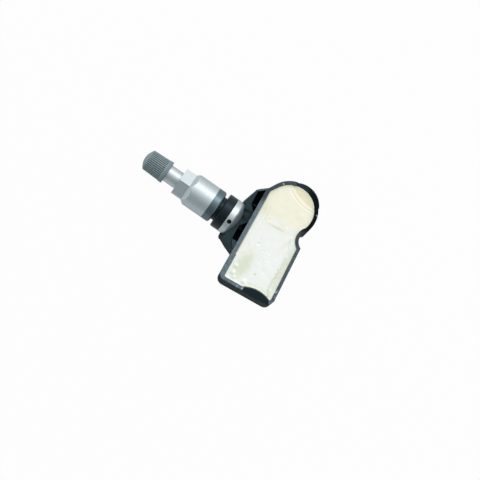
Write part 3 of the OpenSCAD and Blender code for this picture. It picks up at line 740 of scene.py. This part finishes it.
@dataclass
class ResinFill:
    """The cast resin: the CAD block with its real skin of menisci, creases, beads and tints."""

    node: str = "potting"
    skin_z: float = 14.9
    grid_mm: float = 0.22
    reach: tuple[float, float, float, float] = (-14.05, 12.15, -12.2, 41.0)
    wall_rise: float = 0.32
    wall_width: float = 0.55
    arc_middle: tuple[float, float] = (-8.32, -22.03)
    arc_r: float = 17.4
    arc_drop: float = 0.4
    finish: CastResin = CastResin(
        "cast_polyurethane", "#F8FCF8", 0.16, grain_mm=3.0, mottle=0.02, bump=0.04
    )
    creases: tuple[Crease, ...] = (
        Crease(
            ((7.85, 3.9), (7.95, 11.1), (8.15, 18.8), (8.65, 26.0), (8.95, 32.7), (9.75, 38.0)),
            0.3, -0.14, 0.12,
        ),
        Crease(((9.65, 0.0), (8.95, -2.2), (7.6, -4.4), (5.55, -7.0)), 0.5, 0.03),
        Crease(((5.65, 9.0), (3.95, 9.9), (1.55, 10.0), (-0.65, 10.0), (-2.45, 9.7)), 0.5, 0.035, 0.2),
        Crease(
            (
                (-6.75, 11.2), (-7.65, 13.7), (-8.05, 15.8), (-8.25, 18.9), (-8.65, 21.7), (-8.35, 23.6),
                (-8.35, 25.6), (-8.15, 28.4), (-8.25, 31.4), (-8.75, 34.6), (-9.65, 37.4),
            ),
            0.36, 0.42, 0.55,
        ),
        Crease(
            (
                (1.55, 26.0), (2.55, 24.3), (1.85, 23.1), (-0.15, 22.3), (-1.75, 22.4), (-2.45, 24.0),
                (-1.75, 25.1),
            ),
            0.18, 0.06, 0.1,
        ),
        Crease(
            (
                (0.45, 27.4), (-0.15, 29.5), (-1.95, 31.2), (-3.85, 30.9), (-5.25, 29.4), (-4.75, 26.9),
                (-3.35, 25.2), (-1.85, 25.5), (-0.55, 26.6),
            ),
            0.18, 0.06, 0.1,
        ),
        Crease(((-4.55, 23.1), (-5.75, 23.0), (-7.05, 21.4)), 0.18, 0.05),
        Crease(((1.75, 36.8), (-1.55, 36.2), (-5.55, 36.2), (-9.25, 37.8)), 0.4, 0.02, 0.3),
    )
    beads: tuple[Bead, ...] = (
        Bead(4.55, 18.2, 0.35, -0.16),
        Bead(4.65, 20.3, 0.4, -0.16),
        Bead(-0.15, 33.0, 0.5, -0.16),
        Bead(-2.35, 8.5, 0.4, 0.2),
        Bead(5.75, 8.6, 0.45, -0.15),
        Bead(8.65, 33.4, 0.75, 0.42),
        Bead(8.35, 36.6, 0.9, 0.38),
        Bead(7.35, 38.2, 0.7, 0.3),
        Bead(2.55, 37.8, 0.9, 0.44),
        Bead(1.35, 38.6, 0.6, 0.25),
    )
    patches: tuple[Patch, ...] = (
        Patch("thin", 6.0, 31.4, 7.2, 3.2, 84.0, 0.8),
        Patch("thin", -4.7, 38.3, 7.0, 1.6, 0.0, 1.0),
        Patch("thin", -8.75, 27.2, 12.0, 0.7, 88.0, 0.75),
        Patch("thin", -10.45, 30.2, 9.0, 1.0, 88.0, 0.3),
        Patch("thin", 0.95, 10.0, 4.2, 0.7, 2.0, 0.75),
        Patch("thin", -0.15, 33.0, 1.1, 0.5, 70.0, 0.7),
        Patch("thin", 4.65, 19.2, 1.5, 0.4, 85.0, 0.45),
        Patch("thin", -6.05, 14.2, 3.4, 1.0, 70.0, 0.35),
        Patch("cream", 10.25, 22.2, 17.0, 1.0, 89.0, 0.35),
        Patch("thin", -10.4, 23.0, 16.0, 1.7, 88.0, 0.7),
    )

    def surface(self, points: np.ndarray, walls: KDTree) -> np.ndarray:
        """Height of the skin over its flat level.

        Args:
            points: Places in millimetres, one to a row.
            walls: The housing's inner walls as close points.

        Returns:
            One height a point, in millimetres.
        """
        gap = np.array([walls.find((x, y, 0.0))[2] for x, y in points])
        ripple = np.array([noise.noise(Vector((x * 0.35, y * 0.35, 0.7))) for x, y in points])
        sway = np.array(
            [noise.noise_vector(Vector((x * 0.55, y * 0.55, 3.1)))[:2] for x, y in points]
        )
        height = 0.05 * ripple + self.wall_rise * np.exp(-gap / self.wall_width)
        for crease in self.creases:
            off = from_path(points + crease.sway * 1.6 * sway, crease.path)
            height += crease.height * np.exp(-((off / crease.width) ** 2))
        for bead in self.beads:
            off = np.hypot(points[:, 0] - bead.x, points[:, 1] - bead.y)
            height += bead.height * np.exp(-((off / bead.reach) ** 2))
        past = np.hypot(*(points - np.array(self.arc_middle)).T) - self.arc_r
        sunk = 1 / (1 + np.exp(np.clip(past / 0.16, -30, 30)))
        height -= self.arc_drop * sunk
        height += 0.1 * np.exp(-(((past - 0.5) / 0.28) ** 2)) - 0.06 * np.exp(-(((past - 1.2) / 0.3) ** 2))
        return height

    def block(self) -> bpy.types.Object:
        """A fine grid over the hollow, drawn down into a block.

        Returns:
            The block's object.
        """
        x0, x1, y0, y1 = self.reach
        bpy.ops.object.select_all(action="DESELECT")
        bpy.ops.mesh.primitive_grid_add(
            x_subdivisions=round((x1 - x0) / self.grid_mm),
            y_subdivisions=round((y1 - y0) / self.grid_mm),
            size=1.0,
            location=(Vector(((x0 + x1) / 2, (y0 + y1) / 2, self.skin_z)) + HOME) * MM,
        )
        block = bpy.context.object
        block.name = "resin_fill"
        block.scale = ((x1 - x0) * MM, (y1 - y0) * MM, 1.0)
        bpy.ops.object.transform_apply(location=True, rotation=True, scale=True)
        bpy.ops.object.mode_set(mode="EDIT")
        bpy.ops.mesh.select_all(action="SELECT")
        bpy.ops.mesh.extrude_region_move(
            TRANSFORM_OT_translate={"value": (0.0, 0.0, -20.0 * MM)}
        )
        bpy.ops.mesh.select_all(action="SELECT")
        bpy.ops.mesh.normals_make_consistent(inside=False)
        bpy.ops.object.mode_set(mode="OBJECT")
        return block

    def mould(self) -> tuple[bpy.types.Object, KDTree]:
        """The CAD block raised past its skin, and its walls as close points.

        Returns:
            The raised copy and a tree of points along its walls.
        """
        mould = copy_of(self.node, "resin_mould")
        low = (self.skin_z + HOME.z - self.arc_drop - 0.05) * MM
        for vertex in mould.data.vertices:
            if vertex.co.z > low:
                vertex.co.z = (self.skin_z + HOME.z + 2.0) * MM
        bpy.ops.object.mode_set(mode="EDIT")
        bpy.ops.mesh.select_all(action="SELECT")
        bpy.ops.mesh.remove_doubles(threshold=0.000001)
        bpy.ops.mesh.dissolve_degenerate(threshold=0.000001)
        bpy.ops.mesh.normals_make_consistent(inside=False)
        bpy.ops.object.mode_set(mode="OBJECT")
        mesh = bmesh.new()
        mesh.from_mesh(mould.data)
        mesh.normal_update()
        places: list[Vector] = []
        for edge in mesh.edges:
            ups = [f.normal.z > 0.9 for f in edge.link_faces]
            if any(ups) and not all(ups) and min(v.co.z for v in edge.verts) > low:
                a, b = (v.co / MM - HOME for v in edge.verts)
                steps = max(1, int((a - b).length / 0.1))
                places += [a.lerp(b, i / steps) for i in range(steps + 1)]
        mesh.free()
        walls = KDTree(len(places))
        for number, point in enumerate(places):
            walls.insert((point.x, point.y, 0.0), number)
        walls.balance()
        return mould, walls

    def build(self) -> bpy.types.Object:
        """Cut the block to the hollow, give it its skin and tints, and dress it.

        Returns:
            The finished piece, which stands for the CAD block.
        """
        mould, walls = self.mould()
        block = self.block()
        level = (self.skin_z + HOME.z) * MM
        skin = [v for v in block.data.vertices if abs(v.co.z - level) < 1e-5]
        points = plan_of(skin)
        for vertex, rise in zip(skin, self.surface(points, walls)):
            vertex.co.z += rise * MM
        apply_modifier(block, "BOOLEAN", operation="INTERSECT", object=mould, solver="EXACT")
        bpy.data.objects.remove(mould)
        bpy.ops.object.mode_set(mode="EDIT")
        bpy.ops.mesh.select_all(action="SELECT")
        bpy.ops.mesh.remove_doubles(threshold=0.000002)
        bpy.ops.object.mode_set(mode="OBJECT")
        bpy.ops.object.shade_smooth_by_angle(angle=math.radians(50))
        self.tint(block)
        place(block, Body.HOUSING, self.finish)
        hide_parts(self.node)
        return block

    def tint(self, block: bpy.types.Object) -> None:
        """Write the soft tints on the piece's vertices.

        Args:
            block: The piece.
        """
        count = len(block.data.vertices)
        points = plan_of(block.data.vertices)
        wave = np.array([noise.noise(Vector((x * 0.3, y * 0.3, 9.0))) for x, y in points])
        fine = np.array([noise.noise(Vector((x * 0.9, y * 0.9, 4.0))) for x, y in points])
        tints = {name: np.zeros(count) for name in ("cream", "pool", "thin", "edge")}
        tints["cream"] = 1 / (1 + np.exp((points[:, 1] - 7.7 + 5 * wave) / 1.4))
        past = np.hypot(*(points - np.array(self.arc_middle)).T) - self.arc_r
        tints["pool"] = 0.75 / (1 + np.exp(np.clip(past / 0.25, -30, 30)))
        outward = np.hypot(*points.T) + 0.8 * fine
        tints["thin"] = 0.75 / (1 + np.exp((10.0 - outward) / 0.5))
        tints["thin"] /= 1 + np.exp((points[:, 1] - 7.0) / 1.5)
        tints["edge"] = 0.8 / (1 + np.exp((10.95 - points[:, 0]) / 0.1))
        for patch in self.patches:
            angle = math.radians(patch.turn)
            away = points - np.array((patch.x, patch.y))
            along = away @ np.array((math.cos(angle), math.sin(angle))) / patch.long
            across = away @ np.array((-math.sin(angle), math.cos(angle))) / patch.wide
            reach = np.sqrt(along**2 + across**2) + 0.22 * fine
            share = patch.strength / (1 + np.exp((reach - 0.85) / 0.2))
            tints[patch.tint] = np.maximum(tints[patch.tint], share)
        for name, values in tints.items():
            layer = block.data.attributes.new(name, "FLOAT", "POINT")
            layer.data.foreach_set("value", np.clip(values, 0.0, 1.0).astype(np.float32))


@dataclass
class Housing:
    """The moulded body: its CAD shape, with the collar's room opened as the real one's is."""

    node: str = "housing"
    room_half: float = 8.45
    room_open: float = 9.0
    room_back: float = -7.6
    arm_foot: tuple[float, float, float] = (-6.3, 0.0, 0.0)
    arm_lean: float = math.radians(20)
    ball_r: float = 13.7
    ball_middle: float = 3.39
    collar_r: float = 8.5
    finish: MouldedNylon = MouldedNylon(
        "moulded_glass_filled_nylon",
        "#0B1013",
        0.8,
        grain_mm=0.45,
        mottle=0.16,
        bump=0.05,
        edge_mm=0.18,
        specular=0.12,
        gloss_tint="#BCD8EA",
    )
    resin: ResinFill = field(default_factory=ResinFill)

    def build(self) -> None:
        """Open the collar's room, dress the moulding and fill it."""
        shell = copy_of(self.node, "housing_shell")
        for tool in self.tools():
            apply_modifier(shell, "BOOLEAN", operation="DIFFERENCE", object=tool, solver="EXACT")
            bpy.data.objects.remove(tool)
        bpy.ops.object.shade_smooth_by_angle(angle=math.radians(20))
        place(shell, Body.HOUSING, self.finish)
        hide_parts(self.node)
        self.resin.build()

    def tools(self) -> list[bpy.types.Object]:
        """The shapes that open the room: straight up over the collar, and round behind its ball."""
        side = (-self.room_half, self.room_half)
        above = slab((self.room_back, 3.0), (-5.0, self.room_open), (-0.6, 8.0))
        arm = slab((0.0, 12.0), (5.0, 14.0), (-12.0, 12.0))
        arm.matrix_world = Matrix.Translation(Vector(self.arm_foot) * MM) @ Matrix.Rotation(
            -self.arm_lean, 4, "Y"
        )
        bpy.ops.object.transform_apply(location=True, rotation=True, scale=True)
        bpy.ops.mesh.primitive_cylinder_add(vertices=128, radius=self.collar_r * MM, depth=1.4 * MM)
        collar = turned(bpy.context.object, self.room_back + 0.7, 1.08)
        bpy.ops.mesh.primitive_uv_sphere_add(segments=128, ring_count=96, radius=self.ball_r * MM)
        ball = turned(bpy.context.object, self.ball_middle)
        keep = slab((-12.0, self.room_back + 0.1), side, (-12.0, 12.0))
        apply_modifier(ball, "BOOLEAN", operation="INTERSECT", object=keep, solver="EXACT")
        bpy.data.objects.remove(keep)
        return [above, arm, collar, ball]


@dataclass
class Valve:
    """The metal valve with its seal, ring, nut and cap in their CAD shapes, and its ball's back."""

    ball_r: float = 13.5
    ball_middle: float = 3.39
    collar_r: float = 8.25
    # The ball's back: a duller copy of the stem's aluminium, its darker colour painted shade.
    shaded_ball_finish: Finish = Finish(
        "painted_shade_ball_aluminium", "#6C7A80", 0.55, 0.3, mottle=0.03, axis=Axis.STEM
    )

    finishes: tuple[tuple[str, Finish], ...] = (
        (
            "valve_stem",
            TurnedMetal(
                "turned_aluminium", "#C3CCCF", 0.46, 1.0, mottle=0.03, edge_mm=0.12, axis=Axis.STEM
            ),
        ),
        (
            "hex_nut",
            TurnedMetal(
                "satin_anodised_aluminium", "#BFC9CD", 0.48, 1.0, mottle=0.03, edge_mm=0.12, axis=Axis.STEM
            ),
        ),
        (
            "thrust_ring",
            TurnedMetal(
                "dark_nickel_plated_ring", "#63737A", 0.36, 1.0, mottle=0.06, edge_mm=0.08, axis=Axis.STEM
            ),
        ),
        (
            "rubber_seal",
            Finish(
                "moulded_epdm_rubber", "#060C10", 0.38, grain_mm=0.6, mottle=0.2, edge_mm=0.15, specular=0.42,
                gloss_tint="#BCD8EA",
            ),
        ),
        (
            "valve_cap",
            RibbedPlastic(
                "moulded_cap_polyamide", "#8A9CA2", 0.5, mottle=0.02, specular=0.3, axis=Axis.STEM
            ),
        ),
        ("clamp_nut", Finish("black_oxide_steel", "#090B0C", 0.6, 0.2, specular=0.1)),
        ("core_barrel", Finish("turned_brass", "#C79F52", 0.3, 1.0)),
        ("core_gasket", Finish("red_fluor_rubber", "#7D2B25", 0.5)),
        ("core_pin", Finish("drawn_brass_pin", "#D2AE62", 0.28, 1.0)),
        ("core_poppet", Finish("black_nitrile_rubber", "#26292C", 0.55)),
        ("core_spring", Finish("drawn_spring_steel", "#A9AFB2", 0.25, 1.0)),
        ("cap_seal", Finish("black_cap_rubber", "#25282B", 0.6)),
    )

    def build(self) -> None:
        """Dress every piece of the valve and round off the collar's back."""
        for node, finish in self.finishes:
            dress(node, finish)
        self.ball_back()

    def ball_back(self) -> bpy.types.Object:
        """The pale grey round back that shows between the collar and the bracket, in a duller copy of the
        stem's aluminium whose darker colour is painted shade.

        Returns:
            The finished piece.
        """
        low, high = -12.0, -6.6
        bpy.ops.mesh.primitive_uv_sphere_add(segments=160, ring_count=120, radius=self.ball_r * MM)
        ball = turned(bpy.context.object, self.ball_middle)
        ball.name = "ball_back"
        bpy.ops.mesh.primitive_cylinder_add(
            vertices=160, radius=self.collar_r * MM, depth=(high - low) * MM
        )
        bar = turned(bpy.context.object, (low + high) / 2)
        apply_modifier(ball, "BOOLEAN", operation="INTERSECT", object=bar, solver="EXACT")
        bpy.data.objects.remove(bar)
        bpy.ops.object.shade_smooth_by_angle(angle=math.radians(25))
        place(ball, Body.STEM, self.shaded_ball_finish)
        return ball


@dataclass
class Electronics:
    """The board, the battery and the small parts that the resin and the housing hide."""

    finishes: tuple[tuple[str, Finish], ...] = (
        ("circuit_board", Finish("green_solder_resist", "#2F6B3C", 0.35, grain_mm=1.2)),
        ("battery", Finish("nickel_plated_cell_can", "#C9CCCE", 0.25, 1.0)),
        ("battery_tab_top", Finish("spot_welded_tab_top", "#D8D9D2", 0.3, 1.0)),
        ("battery_tab_bottom", Finish("spot_welded_tab_bottom", "#D2D3CC", 0.3, 1.0)),
        ("pressure_sensor", Finish("black_moulding_compound", "#1C1D1F", 0.6)),
        ("port_gasket", Finish("brown_silicone_gasket", "#6B2F2A", 0.5)),
        ("port_filter", Finish("white_membrane_cloth", "#E8E8E4", 0.8, grain_mm=0.2, mottle=0.12)),
        ("crystal", Finish("crystal_can_steel", "#C2C4C0", 0.3, 1.0)),
        ("coil_core", Finish("sintered_ferrite", "#3B3D40", 0.5)),
        ("coil_winding", Finish("enamelled_copper_wire", "#B3612C", 0.35, 0.9, grain_mm=0.25)),
        ("capacitors", Finish("fired_ceramic_chip", "#A8835C", 0.4)),
        ("resistors", Finish("black_glazed_chip", "#202225", 0.35)),
        ("antenna", Finish("bent_copper_strip", "#C98A4A", 0.3, 1.0)),
    )

    def build(self) -> None:
        """Dress every hidden piece."""
        for node, finish in self.finishes:
            dress(node, finish)


def dress(node: str, finish: Finish) -> None:
    """Give a CAD node its material.

    Args:
        node: The CAD node's name.
        finish: How it looks.
    """
    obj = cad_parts[node]
    obj.data.materials.clear()
    obj.data.materials.append(finish.material())
    log.info("%s: dressed in %s", node, finish.name)


# ---- studio ----


@dataclass
class Studio:
    """White floor, soft surroundings and the photograph's camera."""

    floor_z: float = -0.05
    viewpoint: tuple[float, float, float] = (17.3, 110.45, 465.5)
    right: tuple[float, float, float] = (-0.87172, -0.47912, 0.10275)
    ahead: tuple[float, float, float] = (-0.01065, -0.19113, -0.98151)
    lens_mm: float = 80.16
    shade_from: tuple[float, float, float] = (0.0, 0.86, 0.51)

    def build(self) -> None:
        """Set up the floor, the surroundings, the lamp and the camera."""
        self.floor()
        self.surroundings()
        self.lamp()
        self.camera()
        bpy.context.scene.view_settings.view_transform = "Standard"

    def rays(self, tree: bpy.types.NodeTree) -> bpy.types.NodeSocket:
        """One for rays from the camera or off gloss and glass, zero for the light itself."""
        path = add(tree, "ShaderNodeLightPath").outputs
        shown: Any = path["Is Camera Ray"]
        for kind in ("Is Glossy Ray", "Is Transmission Ray"):
            shown = add(tree, "ShaderNodeMath", {0: shown, 1: path[kind]}, operation="MAXIMUM").outputs[0]
        return shown

    def floor(self) -> None:
        """A wide white sweep that shows as white and keeps a soft shadow."""
        bpy.ops.object.select_all(action="DESELECT")
        bpy.ops.mesh.primitive_grid_add(
            x_subdivisions=8, y_subdivisions=8, size=6.0, location=(0, 0, (HOME.z + self.floor_z) * MM)
        )
        floor = bpy.context.object
        floor.name = "floor"
        mat = bpy.data.materials.new("white_studio_paper")
        mat.use_nodes = True
        tree = mat.node_tree
        tree.nodes.clear()
        paper = add(tree, "ShaderNodeBsdfDiffuse", {"Color": (0.6, 0.61, 0.62, 1.0)})
        glow = add(tree, "ShaderNodeEmission", {"Color": (1.0, 1.0, 1.0, 1.0), "Strength": 1.0})
        path = add(tree, "ShaderNodeLightPath").outputs
        share = add(
            tree, "ShaderNodeMapRange", {0: path["Is Glossy Ray"], 1: 0.0, 2: 1.0, 3: 0.97, 4: 0.42}
        )
        share = add(
            tree, "ShaderNodeMath", {0: self.rays(tree), 1: share.outputs[0]}, operation="MULTIPLY"
        )
        mix = add(
            tree,
            "ShaderNodeMixShader",
            {0: share.outputs[0], 1: paper.outputs[0], 2: glow.outputs[0]},
        )
        add(tree, "ShaderNodeOutputMaterial", {"Surface": mix.outputs[0]})
        floor.data.materials.append(mat)

    def surroundings(self) -> None:
        """White all round, with the studio's dim side where metal picks it up."""
        world = bpy.data.worlds.new("studio")
        bpy.context.scene.world = world
        world.use_nodes = True
        tree = world.node_tree
        tree.nodes.clear()
        way = add(tree, "ShaderNodeTexCoord").outputs["Generated"]
        toward = add(
            tree, "ShaderNodeVectorMath", {0: way, 1: self.shade_from}, operation="DOT_PRODUCT"
        ).outputs["Value"]
        dim = add(
            tree,
            "ShaderNodeMapRange",
            {0: toward, 1: 0.45, 2: 0.95, 3: 0.0, 4: 1.0},
            interpolation_type="SMOOTHSTEP",
        ).outputs[0]
        path = add(tree, "ShaderNodeLightPath").outputs
        sky = add(
            tree,
            "ShaderNodeMix",
            {0: dim, 6: (1.0, 1.0, 0.985, 1.0), 7: (0.34, 0.38, 0.39, 1.0)},
            data_type="RGBA",
        ).outputs[2]
        level = add(
            tree, "ShaderNodeMapRange", {0: path["Is Diffuse Ray"], 1: 0.0, 2: 1.0, 3: 1.0, 4: 0.84}
        ).outputs[0]
        white = (1.0, 1.0, 1.0, 1.0)
        seen = add(
            tree, "ShaderNodeMix", {0: path["Is Camera Ray"], 6: sky, 7: white}, data_type="RGBA"
        ).outputs[2]
        back = add(tree, "ShaderNodeBackground", {"Color": seen, "Strength": level})
        add(tree, "ShaderNodeOutputWorld", {"Surface": back.outputs[0]})

    def lamp(self) -> None:
        """One large soft lamp from above and behind the lobe."""
        data = bpy.data.lights.new("soft_box", "AREA")
        data.shape = "RECTANGLE"
        data.size, data.size_y = 0.7, 0.5
        data.energy = 2.5
        lamp = bpy.data.objects.new("soft_box", data)
        bpy.context.scene.collection.objects.link(lamp)
        lamp.location = (-0.12, -0.5, 0.75)
        lamp.rotation_euler = (-Vector(lamp.location)).to_track_quat("-Z", "Y").to_euler()

    def camera(self) -> None:
        """The photograph's own viewpoint, turned as its camera was."""
        data = bpy.data.cameras.new("photo_camera")
        data.sensor_width = 36.0
        data.lens = self.lens_mm
        data.clip_start, data.clip_end = 0.01, 20.0
        camera = bpy.data.objects.new("photo_camera", data)
        bpy.context.scene.collection.objects.link(camera)
        back = -Vector(self.ahead).normalized()
        right = Vector(self.right).normalized()
        up = back.cross(right).normalized()
        right = up.cross(back)
        turn = Matrix((right, up, back)).transposed().to_4x4()
        camera.matrix_world = Matrix.Translation((Vector(self.viewpoint) + HOME) * MM) @ turn
        bpy.context.scene.camera = camera


def main() -> None:
    """Build the studio and dress the sensor, piece by piece."""
    Studio().build()
    Housing().build()
    Valve().build()
    Electronics().build()


if __name__ == "__main__":
    main()
